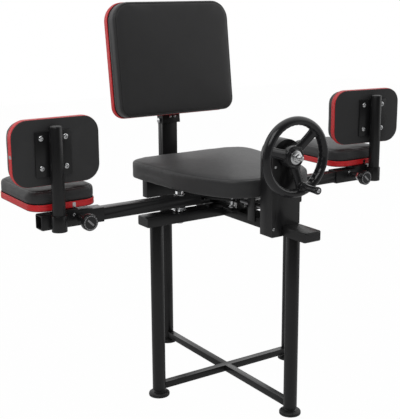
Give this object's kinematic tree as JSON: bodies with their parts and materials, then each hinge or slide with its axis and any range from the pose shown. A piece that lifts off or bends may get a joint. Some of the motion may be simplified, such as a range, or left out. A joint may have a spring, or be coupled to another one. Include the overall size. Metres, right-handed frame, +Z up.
{
  "type": "leg stretching machine",
  "caption": "Free-standing leg stretching machine: a seat and leaning backrest on a low frame, with padded arms that a handwheel swings open.",
  "frame": {"origin": "on the floor, under the middle of the machine's whole width and length", "axes": "+X to the sitter's left, +Y towards the backrest, +Z up"},
  "size_m": [1.225, 0.7176, 1.0357],
  "materials": {
    "black_paint": "gloss",
    "chrome": "polished",
    "bare_steel": "satin",
    "black_vinyl": "satin",
    "black_board": "satin",
    "red_edged_board": "satin",
    "black_plastic": "gloss",
    "foot_rubber": "matte"
  },
  "bodies": {
    "frame": {"leg_left": "black_paint", "leg_right": "black_paint", "leg_rear": "black_paint", "leg_front": "black_paint", "side_brace": "black_paint", "front_brace": "black_paint", "rear_brace": "black_paint", "long_beam": "black_paint", "left_cross_beam": "black_paint", "right_cross_beam": "black_paint", "seat_board": "black_board", "seat_cushion": "black_vinyl", "rear_seat_bearer": "black_paint", "front_seat_bracket": "black_paint", "backrest_post": "black_paint", "backrest_tilt_bolt": "chrome", "column_case": "black_paint", "column_cover": "black_paint", "screw_bearing": "black_paint", "drive_chain": "bare_steel", "left_pivot_bolt": "chrome", "left_pivot_spacer": "chrome", "right_pivot_bolt": "chrome", "right_pivot_spacer": "chrome"},
    "backrest": {"backrest_bracket": "black_paint", "backrest_board": "red_edged_board", "backrest_cushion": "black_vinyl"},
    "wheel": {"handwheel": "black_plastic", "handwheel_shaft": "chrome", "upper_sprocket": "bare_steel"},
    "grip": {"handwheel_grip": "black_plastic"},
    "screw": {"lead_screw": "bare_steel", "lower_sprocket": "bare_steel"},
    "carriage": {"slider_carriage": "black_paint"},
    "left_arm_body": {"left_arm": "black_paint", "left_link_pin": "chrome"},
    "left_link_body": {"left_link": "black_paint"},
    "left_sleeve_body": {"left_sleeve": "black_paint", "left_flat_board": "red_edged_board", "left_flat_cushion": "black_vinyl"},
    "left_post_body": {"left_post": "black_paint", "left_upright_board": "red_edged_board", "left_upright_cushion": "black_vinyl"},
    "left_knob_body": {"left_pull_knob": "black_plastic", "left_knob_spring": "bare_steel"},
    "right_arm_body": {"right_arm": "black_paint", "right_link_pin": "chrome"},
    "right_link_body": {"right_link": "black_paint"},
    "right_sleeve_body": {"right_sleeve": "black_paint", "right_flat_board": "red_edged_board", "right_flat_cushion": "black_vinyl"},
    "right_post_body": {"right_post": "black_paint", "right_upright_board": "red_edged_board", "right_upright_cushion": "black_vinyl"},
    "right_knob_body": {"right_pull_knob": "black_plastic", "right_knob_spring": "bare_steel"},
    "foot_left_body": {"foot_left": "foot_rubber"},
    "foot_right_body": {"foot_right": "foot_rubber"},
    "foot_rear_body": {"foot_rear": "foot_rubber"},
    "foot_front_body": {"foot_front": "foot_rubber"}
  },
  "joints": [
    {"name": "handwheel_spin", "type": "hinge", "parent": "frame", "child": "wheel", "pos_m": [-0.0154, -0.2928, 0.677], "axis": [0, 1, 0], "range_deg": [-2392, 531]},
    {"name": "grip_spin", "type": "hinge", "parent": "wheel", "child": "grip", "pos_m": [0.00417, -0.3328, 0.60398], "axis": [0, 1, 0], "continuous": true},
    {"name": "screw_turn", "type": "hinge", "parent": "frame", "child": "screw", "pos_m": [-0.0154, -0.0898, 0.529], "axis": [0, 1, 0], "range_deg": [-2400, 540]},
    {"name": "carriage_slide", "type": "slide", "parent": "frame", "child": "carriage", "axis": [0, 1, 0], "range_m": [-0.0148, 0.0665]},
    {"name": "left_arm_swing", "type": "hinge", "parent": "frame", "child": "left_arm_body", "pos_m": [-0.15, 0.0152, 0.5294], "axis": [0, 0, 1], "range_deg": [-10, 45]},
    {"name": "right_arm_swing", "type": "hinge", "parent": "frame", "child": "right_arm_body", "pos_m": [0.1512, 0.0152, 0.5294], "axis": [0, 0, -1], "range_deg": [-10, 45]},
    {"name": "left_link_swing", "type": "hinge", "parent": "left_arm_body", "child": "left_link_body", "pos_m": [-0.075, 0.0152, 0.5294], "axis": [0, 0, 1], "range_deg": [-30.5, 6.8]},
    {"name": "right_link_swing", "type": "hinge", "parent": "right_arm_body", "child": "right_link_body", "pos_m": [0.0762, 0.0152, 0.5294], "axis": [0, 0, -1], "range_deg": [-30.5, 6.8]},
    {"name": "left_sleeve_slide", "type": "slide", "parent": "left_arm_body", "child": "left_sleeve_body", "axis": [-1, 0, 0], "range_m": [-0.05, 0.05]},
    {"name": "right_sleeve_slide", "type": "slide", "parent": "right_arm_body", "child": "right_sleeve_body", "axis": [1, 0, 0], "range_m": [-0.05, 0.05]},
    {"name": "left_pad_swivel", "type": "hinge", "parent": "left_sleeve_body", "child": "left_post_body", "pos_m": [-0.5093, -0.0218, 0.63], "axis": [0, 0, 1], "range_deg": [-20, 20]},
    {"name": "right_pad_swivel", "type": "hinge", "parent": "right_sleeve_body", "child": "right_post_body", "pos_m": [0.5105, -0.0218, 0.63], "axis": [0, 0, 1], "range_deg": [-12, 28]},
    {"name": "left_knob_pull", "type": "slide", "parent": "left_sleeve_body", "child": "left_knob_body", "axis": [0, -1, 0], "range_m": [0, 0.008], "stiffness_N_per_m": 1500, "springref_m": -0.005},
    {"name": "right_knob_pull", "type": "slide", "parent": "right_sleeve_body", "child": "right_knob_body", "axis": [0, -1, 0], "range_m": [0, 0.008], "stiffness_N_per_m": 1500, "springref_m": -0.005},
    {"name": "backrest_tilt", "type": "hinge", "parent": "frame", "child": "backrest", "pos_m": [0.0006, 0.3102, 0.695], "axis": [-1, 0, 0], "range_deg": [-8, 12]},
    {"name": "foot_left_level", "type": "slide", "parent": "frame", "child": "foot_left_body", "axis": [0, 0, -1], "range_m": [0, 0.012]},
    {"name": "foot_right_level", "type": "slide", "parent": "frame", "child": "foot_right_body", "axis": [0, 0, -1], "range_m": [0, 0.012]},
    {"name": "foot_rear_level", "type": "slide", "parent": "frame", "child": "foot_rear_body", "axis": [0, 0, -1], "range_m": [0, 0.012]},
    {"name": "foot_front_level", "type": "slide", "parent": "frame", "child": "foot_front_body", "axis": [0, 0, -1], "range_m": [0, 0.012]}
  ],
  "couplings": [
    {"joint": "screw_turn", "follows": "handwheel_spin", "ratio": 1},
    {"joint": "carriage_slide", "follows": "handwheel_spin", "m_per_rad": -0.0015915},
    {"joint": "left_arm_swing", "follows": "handwheel_spin", "ratio": -0.018808},
    {"joint": "right_arm_swing", "follows": "handwheel_spin", "ratio": -0.018808},
    {"joint": "left_link_swing", "follows": "handwheel_spin", "ratio": 0.012733},
    {"joint": "right_link_swing", "follows": "handwheel_spin", "ratio": 0.012733}
  ]
}
